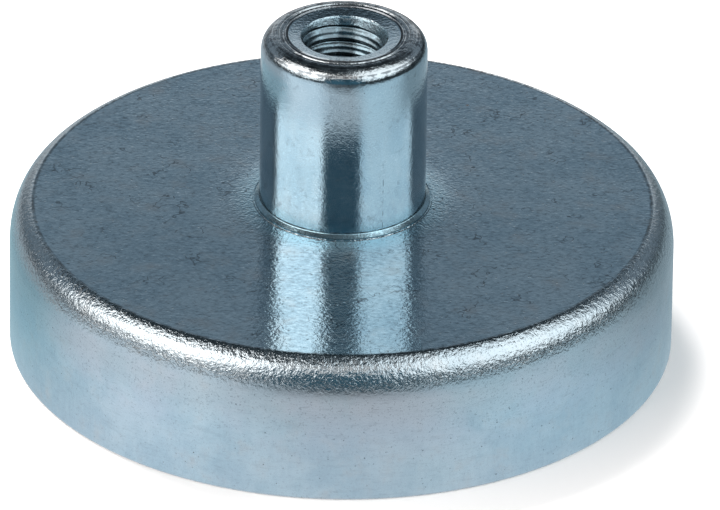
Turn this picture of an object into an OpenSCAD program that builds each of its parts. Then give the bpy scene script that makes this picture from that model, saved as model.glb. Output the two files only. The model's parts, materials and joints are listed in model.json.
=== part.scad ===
// Shallow pot magnet with an internally threaded bush.
// A drawn steel pot holds a hard ferrite ring, and a turned bush with a blind
// tapped hole is riveted through the middle of the pot's top plate.
// The pole face lies on z = 0, the bush points up along +Z, and the origin is
// the centre of the pole face.

/* [Pot] */
// Outer diameter of the drawn steel pot
pot_d = 50.8; // [46:0.1:63]
// Height of the pot, from the pole face to the edge of its top plate
pot_h = 11.6; // [10:0.1:14]
// Thickness of the pot's side wall
pot_wall = 2.4; // [2:0.1:3]
// Thickness of the pot's top plate at its edge
pot_top = 2.6; // [2:0.1:3]
// Half width of the ellipse that the rounded shoulder follows
shoulder_w = 1.6; // [1:0.1:2]
// Half height of that ellipse
shoulder_h = 3.1; // [2:0.1:4]
// How far the top of that ellipse lies below the edge of the top plate
shoulder_drop = 0.2; // [0:0.05:0.4]
// Inside radius where the wall meets the top plate
pot_inner_r = 0.8; // [0.4:0.1:1.2]
// Diameter of the crease where the top plate meets the shoulder
crease_d = 47.3; // [44:0.1:48]
// How far the top plate rises from the crease to the foot of the bush
seat_h = 0.4; // [0.2:0.05:1]

/* [Bush] */
// Outer diameter of the bush
bush_d = 12.7; // [11.8:0.1:13.2]
// Height of the whole magnet, from the pole face to the bush's mouth
overall_h = 26.1; // [24:0.1:30]
// Radius of the rounded edge around the mouth
bush_round = 1.35; // [0.8:0.05:1.8]
// Diameter of the flared foot where the bush sits on the pot
collar_d = 13.4; // [13.2:0.1:16]
// Height of the flared foot
collar_h = 0.45; // [0.3:0.05:1]
// Diameter of the spigot that passes through the top plate
spigot_d = 9; // [7:0.1:10]
// Diameter of the riveted head inside the pot
rivet_d = 11.4; // [10.5:0.1:12.5]
// Thickness of the riveted head
rivet_h = 1.2; // [0.8:0.1:2]

/* [Thread] */
// Nominal diameter of the thread, a 1/4 inch coarse thread
thread_d = 6.35; // [5.5:0.05:7]
// Diameter of the hole before tapping, which is the thread's crest
tap_d = 5.1; // [4.5:0.05:5.4]
// Depth of the full-width hole below the mouth
tap_depth = 14; // [10:0.5:15]
// Diameter of the shallow dish around the mouth
dish_d = 8.8; // [8:0.1:9.8]
// Depth of the dish
dish_depth = 0.25; // [0.2:0.05:0.6]
// Depth of the lead-in below the dish
lead_depth = 0.15; // [0.1:0.05:0.8]

/* [Magnet] */
// Diameter of the ring's centre hole
magnet_hole_d = 13; // [12.6:0.1:16]
// Distance from the pole face up to the ring's face
magnet_recess = 0.2; // [0.1:0.05:0.5]
// Width of the resin-filled gap between the ring and the wall
gap = 1; // [0.6:0.1:1.6]
// Thickness of the adhesive between the ring and the top plate
glue_t = 0.2; // [0.1:0.05:0.4]
// Distance from the pole face up to the resin's face
resin_recess = 0.5; // [0.3:0.1:1]

/* [Hidden] */
$fn = 180;

pot_r = pot_d / 2;
seat_z = pot_h + seat_h;
shoulder_z = pot_h - shoulder_drop - shoulder_h;
cavity_r = pot_r - pot_wall;
ceiling_z = pot_h - pot_top;
bush_r = bush_d / 2;
magnet_r = cavity_r - gap;
magnet_top = ceiling_z - glue_t;
drill_point_h = tap_d / 2 / tan(59);  // 118 degree drill point
edge_break = 0.2;                     // small chamfer on ground and pressed edges
rivet_edge = 0.5;                     // rounding of the riveted head
skirt = 0.4;                          // how far the adhesive stops short of the ring's edges
arc_steps = 10;                       // straight steps in each rounded outline
shoulder_end = 66;                    // angle on the ellipse where the shoulder runs straight to the crease
cut = 1;                              // how far a cutter runs past the face that it opens

zinc = [0.66, 0.74, 0.79];
ferrite = [0.16, 0.16, 0.17];
resin = [0.10, 0.10, 0.11];
glue = [0.78, 0.74, 0.62];

// Points on an elliptical arc in the outline plane, from angle a0 to angle a1
function arc(x, y, rx, ry, a0, a1) =
    [for (i = [0:arc_steps]) let (a = a0 + (a1 - a0) * i / arc_steps)
        [x + rx * cos(a), y + ry * sin(a)]];

// A ring with the same small chamfer on all four edges
module chamfered_ring(inner_r, outer_r, z0, z1) {
    rotate_extrude()
        polygon([
            [inner_r + edge_break, z0], [outer_r - edge_break, z0],
            [outer_r, z0 + edge_break], [outer_r, z1 - edge_break],
            [outer_r - edge_break, z1], [inner_r + edge_break, z1],
            [inner_r, z1 - edge_break], [inner_r, z0 + edge_break],
        ]);
}

module pot() {
    color(zinc)
        rotate_extrude()
            polygon(concat(
                [[cavity_r, 0], [pot_r - edge_break, 0], [pot_r, edge_break]],
                arc(pot_r - shoulder_w, shoulder_z, shoulder_w, shoulder_h, 0, shoulder_end),
                [[crease_d / 2, pot_h], [collar_d / 2, seat_z], [spigot_d / 2, seat_z]],
                [[spigot_d / 2, ceiling_z]],
                arc(cavity_r - pot_inner_r, ceiling_z - pot_inner_r, pot_inner_r, pot_inner_r, 90, 0)
            ));
}

// Outside of the bush: riveted head, spigot, flared foot, and shank with a rounded mouth edge
module bush_blank() {
    rivet_r = rivet_d / 2;
    rivet_z = ceiling_z - rivet_h;
    rotate_extrude()
        polygon(concat(
            [[0, rivet_z]],
            arc(rivet_r - rivet_edge, rivet_z + rivet_edge, rivet_edge, rivet_edge, -90, 0),
            [
                [rivet_r, ceiling_z], [spigot_d / 2, ceiling_z], [spigot_d / 2, seat_z],
                [collar_d / 2, seat_z], [bush_r, seat_z + collar_h],
            ],
            arc(bush_r - bush_round, overall_h - bush_round, bush_round, bush_round, 0, 90),
            [[0, overall_h]]
        ));
}

// Blind tapped hole, drawn at the thread's crest: dish, lead-in, bore and drill point
module tapped_hole() {
    lead_z = overall_h - dish_depth - lead_depth;
    floor_z = overall_h - tap_depth;
    dish_slope = (dish_d - thread_d) / 2 / dish_depth;
    translate([0, 0, overall_h - dish_depth])
        cylinder(h = dish_depth + cut, d1 = thread_d, d2 = dish_d + 2 * cut * dish_slope);
    translate([0, 0, lead_z])
        cylinder(h = lead_depth, d1 = tap_d, d2 = thread_d);
    translate([0, 0, floor_z])
        cylinder(h = lead_z - floor_z, d = tap_d);
    translate([0, 0, floor_z - drill_point_h])
        cylinder(h = drill_point_h, d1 = 0, d2 = tap_d);
}

module threaded_bush() {
    color(zinc)
        difference() {
            bush_blank();
            tapped_hole();
        }
}

module ring_magnet() {
    color(ferrite)
        chamfered_ring(magnet_hole_d / 2, magnet_r, magnet_recess, magnet_top);
}

module magnet_adhesive() {
    color(glue)
        translate([0, 0, magnet_top])
            difference() {
                cylinder(h = glue_t, r = magnet_r - skirt);
                translate([0, 0, -cut])
                    cylinder(h = glue_t + 2 * cut, r = magnet_hole_d / 2 + skirt);
            }
}

// Potting ring with a hollow face, where the resin shrank as it set
module gap_resin() {
    sag = gap / 4;
    resin_top = ceiling_z - pot_inner_r;
    color(resin)
        rotate_extrude()
            polygon(concat(
                arc(magnet_r + gap / 2, resin_recess, gap / 2, sag, 180, 0),
                [[cavity_r, resin_top], [magnet_r, resin_top]]
            ));
}

pot();
threaded_bush();
ring_magnet();
magnet_adhesive();
gap_resin();
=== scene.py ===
"""Looks for a shallow pot magnet with a threaded bush: plated steel, ferrite, resin, stage and camera."""
import json
import math

import bmesh
import bpy
import numpy as np
from mathutils import Matrix, Vector, noise


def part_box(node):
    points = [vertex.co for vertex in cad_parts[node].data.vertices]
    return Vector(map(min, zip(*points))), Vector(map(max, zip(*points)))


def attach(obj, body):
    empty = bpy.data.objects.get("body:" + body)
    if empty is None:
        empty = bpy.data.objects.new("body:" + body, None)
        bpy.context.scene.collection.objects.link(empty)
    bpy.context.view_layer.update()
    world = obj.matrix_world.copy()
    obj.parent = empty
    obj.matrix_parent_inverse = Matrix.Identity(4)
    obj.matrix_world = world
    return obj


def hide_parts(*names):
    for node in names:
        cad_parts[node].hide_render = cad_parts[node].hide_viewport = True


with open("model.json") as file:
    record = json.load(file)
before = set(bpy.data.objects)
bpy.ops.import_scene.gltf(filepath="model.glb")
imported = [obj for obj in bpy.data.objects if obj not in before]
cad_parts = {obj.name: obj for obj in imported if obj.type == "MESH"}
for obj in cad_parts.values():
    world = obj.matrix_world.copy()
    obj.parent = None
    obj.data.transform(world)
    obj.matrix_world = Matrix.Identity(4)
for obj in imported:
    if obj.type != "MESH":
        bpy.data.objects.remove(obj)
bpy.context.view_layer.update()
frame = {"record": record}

MM = 0.001
TURN = 2 * math.pi

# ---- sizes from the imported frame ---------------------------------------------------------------
_, pot_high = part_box("pot")
bush_low, bush_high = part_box("threaded_bush")
ring_low, ring_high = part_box("ring_magnet")
glue_low, glue_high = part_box("magnet_adhesive")
resin_low, resin_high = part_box("gap_resin")
mounts = {m["name"]: m for m in frame["record"]["mounts"]}

POT_R = pot_high.x
CAVITY_R = resin_high.x
CEILING_Z = glue_high.z
BUSH_R = mounts["bush_shank"]["dims"]["r_mm"] * MM
BUSH_TOP = bush_high.z
COLLAR_R = bush_high.x
RIVET_Z = bush_low.z
CREST_R = mounts["thread"]["dims"]["r_mm"] * MM
RING_R = ring_high.x

# ---- sizes of the details ----------------------------------------------------------------------
SHOULDER_W = 1.6 * MM        # half width of the ellipse that the pot's rounded shoulder follows
SHOULDER_H = 3.1 * MM        # half height of that ellipse
SHOULDER_DROP = 0.2 * MM     # the top of that ellipse lies this far below the crease
BEVEL_R = 24.31 * MM         # inner end of the short straight stretch above the rounded shoulder
BEVEL_DROP = 0.356 * MM      # that end's depth below the crease
PULL_R = 23.92 * MM          # the curve from there to the crease bends round this radius
PULL_DROP = 0.05 * MM        # and this far below the crease
CREASE_R = 23.65 * MM        # where the flat top ends
STEP_H = 0.02 * MM           # tiny step down from the crease to the flat top
SEAT_H = 0.4 * MM            # the plate rises this much from the crease to the bush's foot
SEAT_STEP = 0.2 * MM         # share of the rise that falls close to the foot
SEAT_FADE = 1.1 * MM         # the steeper part falls away over about this distance
SPIGOT_R = 4.5 * MM          # hole in the top plate, filled by the bush's spigot
INNER_R = 0.8 * MM           # inside corner between the pot's wall and its top plate
EDGE = 0.2 * MM              # small broken edge
SEAM = 0.06 * MM             # depth of the seam between the bush's foot and the plate
BURR_W = 0.06 * MM           # width of the fine burr that was pressed up from the plate round the foot
BURR_GAP = 0.15 * MM         # from the foot out to the burr's outer side
FOOT_LIP = 0.06 * MM         # undercut of the foot's lower edge, in the seam

PITCH = 1.27 * MM            # 20 turns per inch
ROOT_R = 3.3 * MM            # the thread's root
WORN_CREST_R = 2.8 * MM      # plating and wear have rounded the thread, so its crests stand lower
MOUTH_ROUND = 1.35 * MM      # rounded edge round the mouth
FOOT_SLOPE = 58              # degrees between level and a line square to the flared foot
FOOT_FILLET = 0.12 * MM      # where the foot runs into the shank
FOOT_SHADE_LINE = 0.31             # mm above the plate, painted shade in the corner where the foot meets the shank
DISH_R = 4.27 * MM           # shallow dish round the mouth
DISH_INNER_R = 3.34 * MM     # where the dish ends and the lead-in begins
DISH_DEPTH = 0.22 * MM
LEAD = 1.6 * MM              # depth of the lead-in cone below the dish
GROOVES = [(5.05, 0.05), (4.80, 0.08), (4.58, 0.06), (4.37, 0.10)]  # turned rings: radius and depth, mm
GROOVE_HALF = 0.09 * MM      # half the width of a turned ring
THREAD_LENGTH = 11.5 * MM    # from the dish down to where the thread runs out
HOLE_DEPTH = 14 * MM         # from the mouth down to the drill point
RIVET_R = 5.7 * MM           # riveted head under the top plate
RIVET_EDGE = 0.5 * MM        # its rounded edge
MAGNET_HOLE_R = 6.5 * MM     # centre hole of the ring magnet


# ---- outlines and lathe ------------------------------------------------------------------------
def arc(x, z, rx, rz, a0, a1, steps):
    """Points on an elliptical arc in the (radius, height) plane, from angle a0 to a1 in degrees."""
    angles = np.radians(np.linspace(a0, a1, steps + 1))
    return [(x + rx * math.cos(a), z + rz * math.sin(a)) for a in angles]


def line(start, end, steps):
    """Evenly spaced points from start to end, both included."""
    return [tuple(np.add(start, np.subtract(end, start) * i / steps)) for i in range(steps + 1)]


def same_shape(radius, height, angle):
    return radius, height


def lathe(outline, segments, closed, shape=same_shape):
    """Vertices and faces of an outline turned about Z. A closed outline joins its last point to its first.
    shape(radius, height, angle) may move a point, so that a turned part isn't perfectly round."""
    vertices, rings = [], []
    for radius, height in outline:
        if radius < 1e-7:
            rings.append([len(vertices)] * segments)
            vertices.append((0, 0, height))
            continue
        rings.append(list(range(len(vertices), len(vertices) + segments)))
        for i in range(segments):
            a = TURN * i / segments
            r, z = shape(radius, height, a)
            vertices.append((r * math.cos(a), r * math.sin(a), z))
    faces = []
    pairs = list(zip(rings, rings[1:])) + ([(rings[-1], rings[0])] if closed else [])
    for lower, upper in pairs:
        for i in range(segments):
            j = (i + 1) % segments
            face = [lower[i], lower[j], upper[j], upper[i]]
            faces.append([v for n, v in enumerate(face) if v not in face[:n]])
    return vertices, faces


def solid(name, vertices, faces, sharp_angle=35):
    """A closed mesh object with smooth shading, split where faces meet at more than sharp_angle degrees."""
    mesh = bpy.data.meshes.new(name)
    mesh.from_pydata([tuple(v) for v in vertices], [], faces)
    welded = bmesh.new()
    welded.from_mesh(mesh)
    bmesh.ops.remove_doubles(welded, verts=welded.verts, dist=1e-6)
    bmesh.ops.dissolve_degenerate(welded, edges=welded.edges, dist=1e-7)
    bmesh.ops.recalc_face_normals(welded, faces=welded.faces)
    open_edges = [e for e in welded.edges if len(e.link_faces) != 2]
    print(name, len(welded.verts), "points,", len(open_edges), "open edges")
    welded.to_mesh(mesh)
    welded.free()
    mesh.shade_smooth()
    mesh.set_sharp_from_angle(angle=math.radians(sharp_angle))
    piece = bpy.data.objects.new(name, mesh)
    bpy.context.scene.collection.objects.link(piece)
    return piece


def wobble(angle, height, radius, waves, seed):
    """Smooth seeded noise from -1 to 1 that closes on itself round the axis."""
    turns = waves / TURN
    point = Vector((math.cos(angle) * turns, math.sin(angle) * turns, height / radius * turns + seed))
    return noise.noise(point)


# ---- pieces ------------------------------------------------------------------------------------
def plate_rise(radius):
    """Height of the top plate above the crease, at a radius between the bush's foot and the crease."""
    away = (radius - COLLAR_R) / (CREASE_R - COLLAR_R)
    gentle = (SEAT_H - SEAT_STEP) * (1 - away) - STEP_H * away
    return gentle + (SEAT_STEP - SEAM) * math.exp(-(radius - COLLAR_R) / SEAT_FADE)


def curve(start, pull, end, steps):
    """A smooth curve from start to end that leaves and arrives along lines through pull."""
    points = []
    for i in range(1, steps + 1):
        t = i / steps
        first, second = np.multiply(start, (1 - t) ** 2), np.multiply(pull, 2 * t * (1 - t))
        points.append(tuple(first + second + np.multiply(end, t * t)))
    return points


def make_pot():
    """The drawn pot: wall, rounded shoulder, crease, the plate that rises to the bush, and the inside."""
    wall = POT_R
    top = pot_high.z - SEAT_H
    burr = COLLAR_R + BURR_GAP
    shoulder_z = top - SHOULDER_DROP - SHOULDER_H
    shoulder = arc(wall - SHOULDER_W, shoulder_z, SHOULDER_W, SHOULDER_H, 2, 68, 28)
    bevel_end = (BEVEL_R, top - BEVEL_DROP)
    outline = (
        line((CAVITY_R, EDGE / 2), (CAVITY_R + EDGE / 2, 0), 1)
        + line((CAVITY_R + EDGE, 0), (wall - EDGE, 0), 6)
        + arc(wall - EDGE, EDGE, EDGE, EDGE, -80, 0, 5)
        + line((wall, EDGE * 2), (wall, shoulder_z), 16)
        + shoulder
        + line(shoulder[-1], bevel_end, 2)[1:]
        + curve(bevel_end, (PULL_R, top - PULL_DROP), (CREASE_R, top), 12)
        + [(r, top + plate_rise(r)) for r in np.linspace(CREASE_R - STEP_H, burr + BURR_W / 2, 90)]
        + [(burr, top + SEAT_H), (burr - BURR_W, top + SEAT_H), (burr - BURR_W, top + SEAT_H - SEAM)]
        + line((COLLAR_R - FOOT_LIP, top + SEAT_H - SEAM), (SPIGOT_R, top + SEAT_H - SEAM), 4)
        + line((SPIGOT_R, CEILING_Z), (CAVITY_R - INNER_R, CEILING_Z), 8)
        + arc(CAVITY_R - INNER_R, CEILING_Z - INNER_R, INNER_R, INNER_R, 80, 0, 8)
    )
    return solid("steel_pot", *lathe(outline, 360, closed=True))


def thread_profile():
    """One pitch of the internal thread, as (distance down, radius), from root to root. The plating has
    filled its corners, so the profile is a smooth wave, a little lopsided."""
    steps = 24
    points = []
    for step in range(steps):
        wave = 0.85 * math.cos(TURN * step / steps) + 0.3 * math.cos(2 * TURN * step / steps + 1.2)
        radius = (ROOT_R + WORN_CREST_R) / 2 + wave * (ROOT_R - WORN_CREST_R) / 2
        points.append((PITCH * step / steps, radius))
    return points


def threaded_wall(segments, top):
    """The wall of the tapped hole. Each column of points carries the same profile, lifted by its share
    of a turn, and is cut off at the lead-in and where the thread runs out."""
    profile = thread_profile()
    turns = math.ceil(THREAD_LENGTH / PITCH) + 2
    rows = turns * len(profile)
    low = top - THREAD_LENGTH

    def point(column, row):
        down, radius = profile[row % len(profile)]
        turn = row // len(profile)
        z = top + PITCH * (1 + column / segments - turn) - down
        z = min(max(z, low), top)
        cone = DISH_INNER_R - (DISH_INNER_R - CREST_R) * (top - z) / LEAD
        runout = CREST_R + (ROOT_R - CREST_R) * min(1, (z - low) / PITCH)
        radius = max(min(radius, runout), cone)
        a = TURN * column / segments
        return radius * math.cos(a), radius * math.sin(a), z

    vertices = [point(column, row) for column in range(segments) for row in range(rows)]
    faces = []
    for column in range(segments):
        after = (column + 1) % segments
        lag = len(profile) if after == 0 else 0
        for row in range(rows - 1 - lag):
            a = column * rows + row + lag
            b = after * rows + row
            faces.append([a, b, b + 1, a + 1])
    return vertices, faces


def make_bush():
    """The turned bush: riveted head with a centre dimple, spigot, flared foot, shank, rounded mouth with
    fine turned rings, dish, and blind tapped hole."""
    segments = 240
    mouth = BUSH_TOP
    seat = pot_high.z
    slope = math.radians(FOOT_SLOPE)
    fillet = np.linspace(slope, 0, 9)
    fillet_x = BUSH_R + FOOT_FILLET
    flare = COLLAR_R - fillet_x + FOOT_FILLET * math.cos(slope)
    fillet_z = seat + flare / math.tan(slope) + FOOT_FILLET * math.sin(slope)

    def turning_groove(radius, depth):
        """A fine V cut by the lathe tool in the flat ring round the mouth."""
        return [(radius + GROOVE_HALF, mouth), (radius, mouth - depth), (radius - GROOVE_HALF, mouth)]

    outline = (
        [(0, RIVET_Z + 0.35 * MM)]
        + line((1.1 * MM, RIVET_Z), (RIVET_R - RIVET_EDGE, RIVET_Z), 6)
        + arc(RIVET_R - RIVET_EDGE, RIVET_Z + RIVET_EDGE, RIVET_EDGE, RIVET_EDGE, -80, 0, 8)
        + [(RIVET_R, CEILING_Z), (SPIGOT_R, CEILING_Z), (SPIGOT_R, seat - SEAM)]
        + [(COLLAR_R - FOOT_LIP, seat - SEAM), (COLLAR_R, seat)]
        + [(fillet_x - FOOT_FILLET * math.cos(a), fillet_z - FOOT_FILLET * math.sin(a)) for a in fillet]
        + line((BUSH_R, fillet_z + 0.1 * MM), (BUSH_R, mouth - MOUTH_ROUND), 20)
        + arc(BUSH_R - MOUTH_ROUND, mouth - MOUTH_ROUND, MOUTH_ROUND, MOUTH_ROUND, 13, 88, 24)
        + [point for radius, depth in GROOVES for point in turning_groove(radius * MM, depth * MM)]
        + line((DISH_R - 0.06 * MM, mouth - 0.04 * MM), (DISH_INNER_R, mouth - DISH_DEPTH), 8)
    )
    vertices, faces = lathe(outline, segments, closed=False)
    thread_top = mouth - DISH_DEPTH
    thread_low = thread_top - THREAD_LENGTH
    hole_floor = mouth - HOLE_DEPTH
    drill_point = hole_floor - CREST_R * math.tan(math.radians(31))
    bottom = [(CREST_R, thread_low), (CREST_R, hole_floor), (0, drill_point)]
    for more_vertices, more_faces in (threaded_wall(segments, thread_top),
                                      lathe(bottom, segments, closed=False)):
        offset = len(vertices)
        vertices += more_vertices
        faces += [[v + offset for v in face] for face in more_faces]
    return solid("bush", vertices, faces)


def make_ring_magnet():
    """The pressed ferrite ring, with a small chamfer on its edges."""
    low, high = ring_low.z, ring_high.z
    chamfer = 0.25 * MM

    def chipped(radius, height, angle):
        """The pressed ring's edges are a little ragged, with a few small chips."""
        near_edge = height < low + 1.5 * chamfer
        chip = max(0, wobble(angle, radius, RING_R, 160, 4.2) - 0.35) * 0.5 * MM
        return radius, height + (chip if near_edge and height > low + 1e-6 else 0)

    outline = (
        line((MAGNET_HOLE_R + chamfer, low), (RING_R - chamfer, low), 24)
        + [(RING_R, low + chamfer), (RING_R, high - chamfer), (RING_R - chamfer, high)]
        + [(MAGNET_HOLE_R + chamfer, high), (MAGNET_HOLE_R, high - chamfer)]
        + [(MAGNET_HOLE_R, low + chamfer)]
    )
    return solid("ferrite_ring", *lathe(outline, 360, closed=True, shape=chipped))


def make_adhesive():
    """The thin adhesive layer, with a bead that was pressed out into the magnet's centre hole."""
    low, high = glue_low.z, glue_high.z
    inner, outer = MAGNET_HOLE_R, glue_high.x
    bead = 0.45 * MM

    def squeezed(radius, height, angle):
        """The bead pressed out into the magnet's hole swells and thins round the hole."""
        swell = 1 + 0.5 * wobble(angle, 0, RING_R, 14, 9.1)
        if radius < inner:
            radius = inner - (inner - radius) * swell
        return radius, height

    outline = (
        [(outer, low), (outer, high), (inner, high)]
        + arc(inner, high, bead, bead, 180, 270, 8)
        + [(inner, low)]
    )
    return solid("adhesive_layer", *lathe(outline[::-1], 180, closed=True, shape=squeezed))


def make_resin():
    """The potting ring between magnet and wall, hollow on its face where the resin shrank."""
    low, high = resin_low.z, resin_high.z
    inner, outer = RING_R, CAVITY_R
    middle = (inner + outer) / 2
    sag = (outer - inner) / 4

    def poured(radius, height, angle):
        """The hollow face rises and falls a little round the ring."""
        if height < low + 2 * sag and inner < radius < outer:
            height += 0.12 * MM * (1 + wobble(angle, 0, RING_R, 22, 2.7))
        return radius, height

    outline = (
        arc(middle, low, (outer - inner) / 2, sag, 180, 0, 12)
        + [(outer, high), (inner, high)]
    )
    return solid("potting_ring", *lathe(outline, 300, closed=True, shape=poured))


# ---- node trees --------------------------------------------------------------------------------
class Nodes:
    """Adds nodes to one tree and links them as it goes. A value is a number, a tuple or a socket."""

    def __init__(self, tree):
        self.tree = tree
        tree.nodes.clear()

    def add(self, kind, **settings):
        node = self.tree.nodes.new(kind)
        for name, value in settings.items():
            setattr(node, name, value)
        return node

    def feed(self, socket, value):
        if isinstance(value, bpy.types.NodeSocket):
            self.tree.links.new(value, socket)
        else:
            socket.default_value = value

    def math(self, operation, a, b=0.0, clamp=False):
        node = self.add("ShaderNodeMath", operation=operation, use_clamp=clamp)
        self.feed(node.inputs[0], a)
        self.feed(node.inputs[1], b)
        return node.outputs[0]

    def total(self, *values):
        result = values[0]
        for value in values[1:]:
            result = self.math("ADD", result, value)
        return result

    def product(self, *values):
        result = values[0]
        for value in values[1:]:
            result = self.math("MULTIPLY", result, value)
        return result

    def remap(self, value, low, high, to_low=0.0, to_high=1.0):
        """Smooth step from to_low at low to to_high at high."""
        node = self.add("ShaderNodeMapRange", interpolation_type="SMOOTHSTEP")
        for socket, v in zip(node.inputs, (value, low, high, to_low, to_high)):
            self.feed(socket, v)
        return node.outputs[0]

    def band(self, value, middle, outer, inner):
        """1 where value is within inner of the middle, falling to 0 at a distance of outer."""
        return self.remap(self.math("ABSOLUTE", self.math("SUBTRACT", value, middle)), outer, inner)

    def scaled(self, vector, x, y, z):
        node = self.add("ShaderNodeVectorMath", operation="MULTIPLY")
        self.feed(node.inputs[0], vector)
        self.feed(node.inputs[1], (x, y, z))
        return node.outputs[0]

    def vector(self, x, y, z):
        node = self.add("ShaderNodeCombineXYZ")
        for socket, value in zip(node.inputs, (x, y, z)):
            self.feed(socket, value)
        return node.outputs[0]

    def length(self, vector):
        node = self.add("ShaderNodeVectorMath", operation="LENGTH")
        self.feed(node.inputs[0], vector)
        return node.outputs["Value"]

    def noise(self, vector, scale=1.0, detail=2.0, roughness=0.5):
        node = self.add("ShaderNodeTexNoise")
        self.feed(node.inputs["Vector"], vector)
        self.feed(node.inputs["Scale"], scale)
        self.feed(node.inputs["Detail"], detail)
        self.feed(node.inputs["Roughness"], roughness)
        return node.outputs["Fac"]

    def cells(self, vector, scale, feature="F1"):
        node = self.add("ShaderNodeTexVoronoi", feature=feature)
        self.feed(node.inputs["Vector"], vector)
        self.feed(node.inputs["Scale"], scale)
        return node.outputs["Distance"]

    def specks(self, vector, scale, size, strength=1.0):
        """Scattered small dots: strength at the middle of a dot, 0 outside it. size is a share of a cell."""
        return self.remap(self.cells(vector, scale), size, size * 0.4, 0.0, strength)

    def blend(self, factor, a, b):
        node = self.add("ShaderNodeMix", data_type="RGBA")
        self.feed(node.inputs["Factor"], factor)
        for name, colour in (("A", a), ("B", b)):
            socket = [s for s in node.inputs if s.name == name and s.type == "RGBA"][0]
            self.feed(socket, colour)
        return [s for s in node.outputs if s.type == "RGBA"][0]

    def bump(self, height, depth, before=None):
        """Relief of the given depth in metres where height runs from 0 to 1."""
        node = self.add("ShaderNodeBump")
        node.inputs["Strength"].default_value = 1.0
        node.inputs["Distance"].default_value = depth
        self.feed(node.inputs["Height"], height)
        if before is not None:
            self.feed(node.inputs["Normal"], before)
        return node.outputs[0]

    def split(self, vector):
        node = self.add("ShaderNodeSeparateXYZ")
        self.feed(node.inputs[0], vector)
        return node.outputs


def rgb(r, g, b):
    return (r, g, b, 1.0)


def new_material(name):
    """A material with a Principled shader. Returns the material, its nodes, shader and position in mm."""
    material = bpy.data.materials.new(name)
    material.use_nodes = True
    nodes = Nodes(material.node_tree)
    shader = nodes.add("ShaderNodeBsdfPrincipled")
    output = nodes.add("ShaderNodeOutputMaterial")
    nodes.feed(output.inputs["Surface"], shader.outputs[0])
    where = nodes.add("ShaderNodeTexCoord").outputs["Object"]
    return material, nodes, shader, nodes.scaled(where, 1 / MM, 1 / MM, 1 / MM)


# ---- materials ---------------------------------------------------------------------------------
POT_TOP = pot_high.z / MM      # mm
SCRATCH_AZIMUTH = 29           # degrees round the bush from the camera's side, positive to the right
SCRATCH_TOP = 18.4             # mm above the pole face
ZINC_DEEP = rgb(0.325, 0.415, 0.465)
ZINC = rgb(0.400, 0.480, 0.520)
ZINC_BRIGHT = rgb(0.500, 0.575, 0.610)
ZINC_WORN = rgb(0.400, 0.405, 0.405)
ZINC_CLOUDY = rgb(0.440, 0.462, 0.510)
RUST = rgb(0.20, 0.12, 0.09)
# colour of the painted shade along the pot's crease
CREASE_SHADE = rgb(0.034, 0.030, 0.028)
ZINC_POOLED = rgb(0.345, 0.500, 0.565)
# dark soil colour for grain, specks, draw lines and scratches, also used for painted shade in the bush's
# hole and at its foot
SOIL_AND_SHADE = rgb(0.07, 0.08, 0.09)


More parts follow.
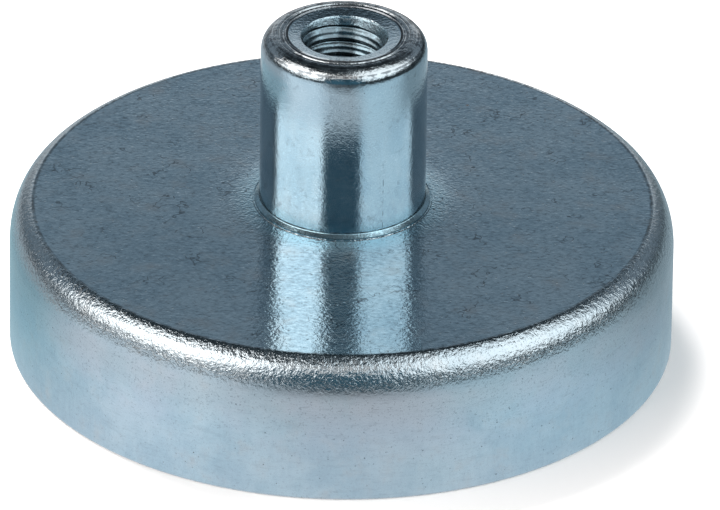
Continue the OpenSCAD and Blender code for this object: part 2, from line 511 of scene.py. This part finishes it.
def zinc_pot_material():
    """Blue-passivated zinc on drawn sheet steel: orange peel on the shoulder, short rolled grain and fine
    scratches on the top, deeper blue and scuffs round the bush, painted shade in the crease, a cloudy wall
    that is greyer and more finely speckled towards its top, faint draw lines, pits and a few rust specks."""
    material, n, shader, mm = new_material("blue_zinc_drawn")
    normal_z = n.split(n.add("ShaderNodeNewGeometry").outputs["Normal"])[2]
    height = n.split(mm)[2]
    radius = n.length(n.scaled(mm, 1, 1, 0))
    crease_r = CREASE_R / MM
    flat = n.product(n.remap(normal_z, 0.90, 0.98), n.remap(radius, crease_r + 0.25, crease_r - 0.1))
    side = n.remap(n.math("ABSOLUTE", normal_z), 0.25, 0.08)
    shoulder = n.math("SUBTRACT", 1.0, n.math("MAXIMUM", flat, side), clamp=True)
    foot = n.product(flat, n.remap(radius, 9.0, 7.0))
    scuffed = n.product(flat, n.remap(radius, 11.5, 8.0))
    # where the painted shade along the crease goes
    crease = n.product(n.band(radius, crease_r - 0.04, 0.20, 0.03),
                       n.remap(n.math("ABSOLUTE", normal_z), 0.5, 0.8))

    peel = n.noise(mm, 2.9, 3.0, 0.6)
    fine = n.noise(mm, 6.0, 2.0, 0.6)
    grain = n.noise(n.scaled(mm, 2.3, 3.8, 1.0), 1.0, 5.0, 0.75)
    ripple = n.noise(n.scaled(mm, 3.6, 4.2, 1.0), 1.0, 2.0, 0.5)
    draw = n.noise(n.scaled(mm, 0.5, 0.5, 3.0), 1.0, 4.0, 0.7)
    sway = n.noise(mm, 0.35, 1.0, 0.5)
    pits = n.specks(mm, 1.3, 0.11)

    tone = n.blend(n.remap(n.noise(mm, 0.22, 4.0, 0.6), 0.35, 0.65), ZINC_DEEP, ZINC)
    contrast = n.total(0.15, n.product(flat, 0.80))
    tone = n.blend(n.product(n.remap(grain, 0.48, 0.72), contrast), tone, ZINC_BRIGHT)
    tone = n.blend(n.product(n.remap(grain, 0.52, 0.26), contrast, 0.7), tone, SOIL_AND_SHADE)
    tone = n.blend(n.remap(n.noise(mm, 0.45, 4.0, 0.6), 0.5, 0.8, 0.0, 0.7), tone, ZINC_WORN)
    clouds = n.product(n.remap(n.noise(mm, 0.14, 4.0, 0.6), 0.36, 0.60),
                       n.remap(height, 2.0, 8.5, 0.15, 0.75))
    tone = n.blend(n.product(side, clouds), tone, ZINC_CLOUDY)
    tone = n.blend(n.product(side, n.remap(height, 5.0, 8.6), 0.45), tone, ZINC_WORN)
    tone = n.blend(n.product(side, n.remap(draw, 0.52, 0.28), 0.10), tone, SOIL_AND_SHADE)
    dashes = n.remap(n.noise(n.scaled(mm, 1.6, 1.6, 9.0), 1.0, 2.0, 0.5), 0.38, 0.29)
    stipple = n.math("MAXIMUM", n.product(dashes, 0.6), n.remap(fine, 0.42, 0.31))
    tone = n.blend(n.product(side, stipple, n.remap(height, 2.5, 8.5, 0.15, 0.36)), tone, SOIL_AND_SHADE)
    darkening = n.math("MAXIMUM", n.specks(mm, 0.8, 0.07, 0.7), n.product(pits, 0.35))
    tone = n.blend(n.product(shoulder, 0.5), tone, ZINC_WORN)
    tone = n.blend(n.product(foot, n.remap(peel, 0.3, 0.6, 0.6, 1.0)), tone, ZINC_POOLED)
    worn = n.math("MAXIMUM", scuffed, shoulder)
    darkening = n.math("MAXIMUM", darkening, n.product(worn, n.remap(fine, 0.42, 0.3), 0.5))
    tone = n.blend(darkening, tone, SOIL_AND_SHADE)
    # painted shade along the crease, in patches
    patchy = n.remap(n.noise(mm, 2.0, 3.0), 0.3, 0.65, 0.15, 0.70)
    tone = n.blend(n.product(crease, patchy), tone, CREASE_SHADE)
    hairline = n.band(n.noise(mm, 0.30, 3.0, 0.6), 0.5, 0.011, 0.004)
    hairline = n.product(hairline, flat, n.remap(n.noise(mm, 0.33, 2.0), 0.54, 0.60))
    tone = n.blend(n.product(hairline, 0.65), tone, SOIL_AND_SHADE)
    rust = n.specks(mm, 0.16, 0.030, 0.7)
    tone = n.blend(rust, tone, RUST)
    n.feed(shader.inputs["Base Color"], tone)
    shader.inputs["Metallic"].default_value = 1.0
    rough = n.total(0.065, n.product(n.noise(mm, 1.5, 3.0), 0.08), n.product(darkening, 0.2),
                    n.product(rust, 0.4), n.product(side, 0.12))
    n.feed(shader.inputs["Roughness"], rough)

    peel_depth = n.total(n.product(shoulder, 0.75), n.product(scuffed, 0.12), n.product(foot, 0.3), 0.07)
    relief = n.bump(n.product(peel, peel_depth), 0.09 * MM)
    fine_depth = n.total(n.product(shoulder, 0.8), n.product(scuffed, 0.4), n.product(foot, 0.7), 0.10)
    relief = n.bump(n.product(fine, fine_depth), 0.025 * MM, relief)
    relief = n.bump(n.product(ripple, flat), 0.015 * MM, relief)
    relief = n.bump(n.product(draw, side), 0.003 * MM, relief)
    relief = n.bump(sway, 0.012 * MM, relief)
    relief = n.bump(n.math("SUBTRACT", 1.0, pits), 0.008 * MM, relief)
    n.feed(shader.inputs["Normal"], relief)
    return material


def zinc_bush_material():
    """Blue-passivated zinc on turned steel: fine peel and specks on the shank, a rough worn ring round
    the mouth, darker blue and painted shade in the hole, painted shade at the foot, and a scratch down one
    side."""
    material, n, shader, mm = new_material("blue_zinc_turned")
    x, y, height = n.split(mm)
    radius = n.length(n.scaled(mm, 1, 1, 0))
    mouth = BUSH_TOP / MM
    near_mouth = n.remap(height, mouth - 1.1, mouth - 0.4)
    ring = n.product(near_mouth, n.remap(radius, 4.2, 4.4))
    inside = n.product(n.remap(radius, 3.4, 3.25), n.remap(height, mouth - 0.2, mouth - 0.5))
    pooled = n.remap(height, POT_TOP + 0.5, POT_TOP + 0.25)
    shank = n.remap(radius, BUSH_R / MM - 0.1, BUSH_R / MM - 0.03)

    lathe_lines = n.noise(n.scaled(mm, 0.15, 0.15, 9.0), 1.0, 2.0, 0.6)
    rings = n.noise(n.scaled(n.vector(radius, height, 0.0), 9.0, 2.0, 1.0), 1.0, 2.0, 0.6)
    blotches = n.noise(mm, 1.3, 4.0, 0.65)
    peel = n.noise(mm, 3.4, 3.0, 0.6)
    fine = n.noise(mm, 9.0, 2.0, 0.5)

    azimuth = n.math("ARCTAN2", x, n.math("MULTIPLY", y, -1.0))
    drift = n.product(n.math("SUBTRACT", n.noise(mm, 0.8), 0.5), 0.03)
    on_line = n.band(n.total(azimuth, drift), math.radians(SCRATCH_AZIMUTH), 0.008, 0.003)
    broken = n.remap(n.noise(n.scaled(mm, 1, 1, 1.6), 1.0, 3.0), 0.42, 0.55)
    below = n.remap(height, SCRATCH_TOP, SCRATCH_TOP - 1)
    scratch = n.product(on_line, below, shank, broken)

    tone = n.blend(n.remap(n.noise(mm, 0.3, 3.0), 0.35, 0.65, 0.3, 0.9), ZINC_DEEP, ZINC)
    tone = n.blend(n.remap(fine, 0.5, 0.75, 0.0, 0.6), tone, ZINC_BRIGHT)
    tone = n.blend(n.remap(blotches, 0.44, 0.28, 0.0, 0.25), tone, SOIL_AND_SHADE)
    tone = n.blend(n.math("MAXIMUM", pooled, n.product(inside, 0.8)), tone, ZINC_POOLED)
    # painted shade in the tapped hole, blotchy
    tone = n.blend(n.product(inside, n.remap(blotches, 0.6, 0.4, 0.60, 0.82)), tone, SOIL_AND_SHADE)
    tone = n.blend(n.product(ring, 0.8), tone, ZINC_WORN)
    dirt = n.product(ring, n.remap(n.total(n.product(rings, 0.4), n.product(blotches, 0.6)), 0.53, 0.43))
    edge_of_dish = n.band(radius, GROOVES[-1][0], 0.13, 0.05)
    dirt = n.math("MAXIMUM", dirt, n.product(edge_of_dish, near_mouth))
    tone = n.blend(n.product(dirt, 0.8), tone, SOIL_AND_SHADE)
    darkening = n.math("MAXIMUM", n.specks(mm, 0.9, 0.06, 0.75), n.product(scratch, 0.35))
    # painted shade: a dark line in the corner where the foot meets the shank, and a blotchy darkening of the
    # flared foot below it
    foot_shade_line = n.product(n.band(height, POT_TOP + FOOT_SHADE_LINE, 0.07, 0.03),
                          n.remap(n.noise(mm, 1.6, 3.0), 0.35, 0.6, 0.3, 1.0))
    foot_shade = n.product(n.remap(height, POT_TOP + FOOT_SHADE_LINE, POT_TOP + 0.2),
                      n.remap(peel, 0.7, 0.4, 0.05, 0.40))
    darkening = n.math("MAXIMUM", darkening, n.math("MAXIMUM", foot_shade_line, foot_shade))
    tone = n.blend(darkening, tone, SOIL_AND_SHADE)
    tone = n.blend(n.product(shank, n.specks(n.scaled(mm, 1, 1, 0.7), 0.22, 0.035, 0.45)), tone, RUST)
    n.feed(shader.inputs["Base Color"], tone)
    shader.inputs["Metallic"].default_value = 1.0
    rough = n.total(0.05, n.product(n.noise(mm, 2.0, 3.0), 0.08), n.product(darkening, 0.2),
                    n.product(ring, 0.06), n.product(pooled, 0.08), n.product(inside, 0.14))
    n.feed(shader.inputs["Roughness"], rough)
    relief = n.bump(n.product(lathe_lines, shank), 0.002 * MM)
    dish = n.product(near_mouth, n.remap(radius, 4.25, 4.1))
    relief = n.bump(n.product(peel, n.total(0.4, n.product(near_mouth, 0.6), dish)), 0.035 * MM, relief)
    relief = n.bump(n.product(fine, n.total(0.5, n.product(ring, 0.5))), 0.010 * MM, relief)
    relief = n.bump(n.product(rings, ring), 0.014 * MM, relief)
    relief = n.bump(n.math("SUBTRACT", 1.0, scratch), 0.01 * MM, relief)
    n.feed(shader.inputs["Normal"], relief)
    return material


def ferrite_material():
    """Ground hard ferrite: dark grey, matt, with fine parallel grinding lines."""
    material, n, shader, mm = new_material("hard_ferrite")
    grinding = n.noise(n.scaled(mm, 0.3, 12.0, 1.0), 1.0, 3.0, 0.7)
    mottling = n.noise(mm, 1.2, 4.0, 0.6)
    tone = n.blend(mottling, rgb(0.030, 0.030, 0.033), rgb(0.075, 0.073, 0.072))
    n.feed(shader.inputs["Base Color"], tone)
    n.feed(shader.inputs["Roughness"], n.remap(grinding, 0.2, 0.8, 0.5, 0.72))
    relief = n.bump(grinding, 0.006 * MM)
    relief = n.bump(n.noise(mm, 6.0, 3.0), 0.010 * MM, relief)
    n.feed(shader.inputs["Normal"], relief)
    return material


def resin_material():
    """Black potting resin, glossy where it set and slightly rippled."""
    material, n, shader, mm = new_material("potting_resin")
    n.feed(shader.inputs["Base Color"], n.blend(n.noise(mm, 0.8, 3.0), rgb(0.010, 0.010, 0.011),
                                                rgb(0.030, 0.029, 0.030)))
    n.feed(shader.inputs["Roughness"], n.remap(n.noise(mm, 1.5, 2.0), 0.3, 0.7, 0.18, 0.38))
    n.feed(shader.inputs["Normal"], n.bump(n.noise(mm, 0.9, 2.0), 0.05 * MM))
    return material


def adhesive_material():
    """Set epoxy: amber, glossy, with small bubbles."""
    material, n, shader, mm = new_material("epoxy_adhesive")
    bubbles = n.remap(n.cells(mm, 2.2), 0.16, 0.08)
    tone = n.blend(n.noise(mm, 0.6, 3.0), rgb(0.36, 0.27, 0.13), rgb(0.50, 0.40, 0.22))
    n.feed(shader.inputs["Base Color"], n.blend(n.product(bubbles, 0.5), tone, rgb(0.62, 0.55, 0.40)))
    n.feed(shader.inputs["Roughness"], n.remap(n.noise(mm, 1.1), 0.3, 0.7, 0.15, 0.35))
    n.feed(shader.inputs["Normal"], n.bump(bubbles, 0.03 * MM))
    return material


# ---- stage, light and camera -------------------------------------------------------------------
FLOOR_HALF = 3.0             # metres
FLOOR_SEEN = rgb(0.93, 0.88, 0.85)          # the paper that the camera sees
FLOOR_GLOW = rgb(1.06, 1.18, 1.28)          # the glow that the zinc mirrors
FLOOR_GLOW_LEFT = rgb(0.72, 1.10, 1.26)     # the same glow close by at the left rear
FLOOR_GLOW_RIGHT = rgb(0.98, 1.26, 1.42)    # and at the right
LAMP_AZIMUTH = -150          # degrees from the camera's side, positive to the right
LAMP_ELEVATION = 55
LAMP_DISTANCE = 1.2
LAMP_SIZE = 0.5
LAMP_POWER = 22


def make_floor():
    """A white light table. Seen directly it is plain white paper with a soft shadow. What the zinc mirrors
    is its glow, which is strongest in front, a little weaker in the middle, and fades into the distance."""
    half = FLOOR_HALF
    mesh = bpy.data.meshes.new("floor")
    mesh.from_pydata([(-half, -half, 0), (half, -half, 0), (half, half, 0), (-half, half, 0)], [],
                     [(0, 1, 2, 3)])
    floor = bpy.data.objects.new("floor", mesh)
    bpy.context.scene.collection.objects.link(floor)
    material = bpy.data.materials.new("floor_paint")
    material.use_nodes = True
    n = Nodes(material.node_tree)
    where = n.add("ShaderNodeTexCoord").outputs["Object"]
    x, y, _ = n.split(n.scaled(where, 1 / MM, 1 / MM, 0))
    distance = n.length(n.scaled(where, 1 / MM, 1 / MM, 0))
    azimuth = n.math("DEGREES", n.math("ARCTAN2", x, n.math("MULTIPLY", y, -1.0)))
    aside = n.remap(n.math("ABSOLUTE", azimuth), 8, 40)
    middle_level = n.remap(distance, 22, 95, 0.95, 0.15)
    side_level = n.remap(distance, 75, 190, 1.05, n.remap(x, -40, 40, 0.75, 0.10))
    level = n.total(n.product(side_level, aside), n.product(middle_level, n.math("SUBTRACT", 1.0, aside)))
    level = n.product(level, n.remap(y, -26, 8, 1.0, 0.50), n.remap(x, -30, 60, 1.06, 0.70))
    glow = n.add("ShaderNodeEmission")
    left_back = n.product(n.remap(x, -16, -30), n.remap(y, -18, 2), n.remap(distance, 60, 42))
    colour = n.blend(n.remap(x, 8, 30), FLOOR_GLOW, FLOOR_GLOW_RIGHT)
    n.feed(glow.inputs["Color"], n.blend(left_back, colour, FLOOR_GLOW_LEFT))
    n.feed(glow.inputs["Strength"], level)
    paper = n.add("ShaderNodeBsdfDiffuse")
    paper.inputs["Color"].default_value = FLOOR_SEEN
    choice = n.add("ShaderNodeMixShader")
    n.feed(choice.inputs[0], n.add("ShaderNodeLightPath").outputs["Is Camera Ray"])
    n.feed(choice.inputs[1], glow.outputs[0])
    n.feed(choice.inputs[2], paper.outputs[0])
    n.feed(n.add("ShaderNodeOutputMaterial").inputs["Surface"], choice.outputs[0])
    mesh.materials.append(material)


def make_lamp():
    """A soft lamp behind and to the left that only lights the floor, so it leaves no glint on the zinc."""
    azimuth, elevation = math.radians(LAMP_AZIMUTH), math.radians(LAMP_ELEVATION)
    level = math.cos(elevation)
    place = Vector((math.sin(azimuth) * level, -math.cos(azimuth) * level, math.sin(elevation)))
    data = bpy.data.lights.new("soft_lamp", "AREA")
    data.size = LAMP_SIZE
    data.energy = LAMP_POWER
    lamp = bpy.data.objects.new("soft_lamp", data)
    lamp.location = place * LAMP_DISTANCE
    lamp.rotation_euler = place.to_track_quat("Z", "Y").to_euler()
    lamp.visible_glossy = False
    bpy.context.scene.collection.objects.link(lamp)


# Each soft light: azimuth from, to, elevation from, to, edge softness (degrees), radiance, colour
SOFT_LIGHTS = [
    (-104, -28, 24, 59, 3, 3.7, (1.02, 1.00, 0.99)),    # left soft box
    (-104, -28, 11, 24, 3, 2.1, (1.02, 1.00, 0.99)),    # its dimmer lower part
    (25, 108, 13, 73, 3, 2.2, (0.93, 1.00, 1.04)),      # right soft box
    (-26, 26, 34, 58, 5, 0.90, (1.05, 1.00, 0.98)),     # weaker light above the camera
    (-26, 26, 0, 34, 5, 0.13, (0.25, 0.98, 1.45)),      # dim blue wall behind the camera
    (110, 250, 12, 38, 6, 0.255, (0.80, 1.00, 1.20)),   # dim wall behind the magnet
    (110, 250, 0, 29, 6, 0.066, (0.80, 1.00, 1.20)),    # a little more light low on that wall
    (158, 202, -5, 21, 4, 0.70, (1.00, 1.00, 1.00)),    # bright strip low in the middle of it
    (-10, 370, 80, 97, 4, 0.16, (0.85, 1.00, 1.12)),    # dim ceiling
]
AMBIENT = (0.040, 0.055, 0.065)


def make_world():
    """A dim studio with soft boxes to the left and right of the camera, weaker light in front, behind and
    overhead, and a plain white backdrop that only the camera sees.
    Azimuth runs from the camera's side, positive to the right, and elevation up from the horizon."""
    world = bpy.data.worlds.new("studio")
    bpy.context.scene.world = world
    world.use_nodes = True
    n = Nodes(world.node_tree)
    x, y, z = n.split(n.add("ShaderNodeTexCoord").outputs["Generated"])
    azimuth = n.math("DEGREES", n.math("ARCTAN2", x, n.math("MULTIPLY", y, -1.0)))
    # the same angle from 0 to 360 degrees, for lights that reach across the far side
    behind = n.math("ADD", azimuth, n.product(n.math("LESS_THAN", azimuth, 0.0), 360.0))
    elevation = n.math("DEGREES", n.math("ARCSINE", z))

    def between(value, low, high, soft):
        return n.math("MULTIPLY", n.remap(value, low - soft, low + soft),
                      n.remap(value, high + soft, high - soft))

    levels = [[c] for c in AMBIENT]
    for az0, az1, el0, el1, soft, radiance, colour in SOFT_LIGHTS:
        around = behind if az1 > 180 else azimuth
        mask = n.math("MULTIPLY", between(around, az0, az1, soft), between(elevation, el0, el1, soft))
        for level, c in zip(levels, colour):
            level.append(n.math("MULTIPLY", mask, radiance * c))
    colour = n.add("ShaderNodeCombineColor")
    for socket, level in zip(colour.inputs, levels):
        n.feed(socket, n.total(*level))
    studio = n.add("ShaderNodeBackground")
    n.feed(studio.inputs["Color"], colour.outputs[0])
    backdrop = n.add("ShaderNodeBackground")
    backdrop.inputs["Color"].default_value = rgb(1.05, 1.05, 1.05)
    choice = n.add("ShaderNodeMixShader")
    n.feed(choice.inputs[0], n.add("ShaderNodeLightPath").outputs["Is Camera Ray"])
    n.feed(choice.inputs[1], studio.outputs[0])
    n.feed(choice.inputs[2], backdrop.outputs[0])
    n.feed(n.add("ShaderNodeOutputWorld").inputs[0], choice.outputs[0])


CAMERA_DISTANCE = 0.955
CAMERA_ELEVATION = 29.24
CAMERA_ROLL = 0.81
CAMERA_LENS = 623.75
AIM = Vector((1.41 * MM, 0, 6.9 * MM))


def make_camera():
    """A long lens looking along +Y and down at the magnet, as in a catalogue photograph."""
    elevation, roll = math.radians(CAMERA_ELEVATION), math.radians(CAMERA_ROLL)
    back = Vector((0, -math.cos(elevation), math.sin(elevation)))
    level_right = Vector((1, 0, 0))
    level_up = back.cross(level_right)
    right = math.cos(roll) * level_right + math.sin(roll) * level_up
    up = back.cross(right)
    data = bpy.data.cameras.new("camera")
    data.lens = CAMERA_LENS
    data.sensor_width = 36
    data.clip_start, data.clip_end = 0.01, 20
    camera = bpy.data.objects.new("camera", data)
    bpy.context.scene.collection.objects.link(camera)
    rotation = Matrix((right, up, back)).transposed().to_4x4()
    camera.matrix_world = Matrix.Translation(AIM + back * CAMERA_DISTANCE) @ rotation
    bpy.context.scene.camera = camera


# ---- the scene ---------------------------------------------------------------------------------
make_camera()
make_floor()
make_lamp()
make_world()
bpy.context.scene.view_settings.view_transform = "Standard"

PIECES = [
    (make_pot, zinc_pot_material, "pot", "zinc_plated_steel"),
    (make_bush, zinc_bush_material, "threaded_bush", "zinc_plated_bush"),
    (make_ring_magnet, ferrite_material, "ring_magnet", "hard_ferrite"),
    (make_adhesive, adhesive_material, "magnet_adhesive", "epoxy_adhesive"),
    (make_resin, resin_material, "gap_resin", "potting_resin"),
]
for make_piece, make_material, node, slot in PIECES:
    piece = make_piece()
    piece.data.materials.append(make_material())
    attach(piece, "root")
    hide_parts(node)
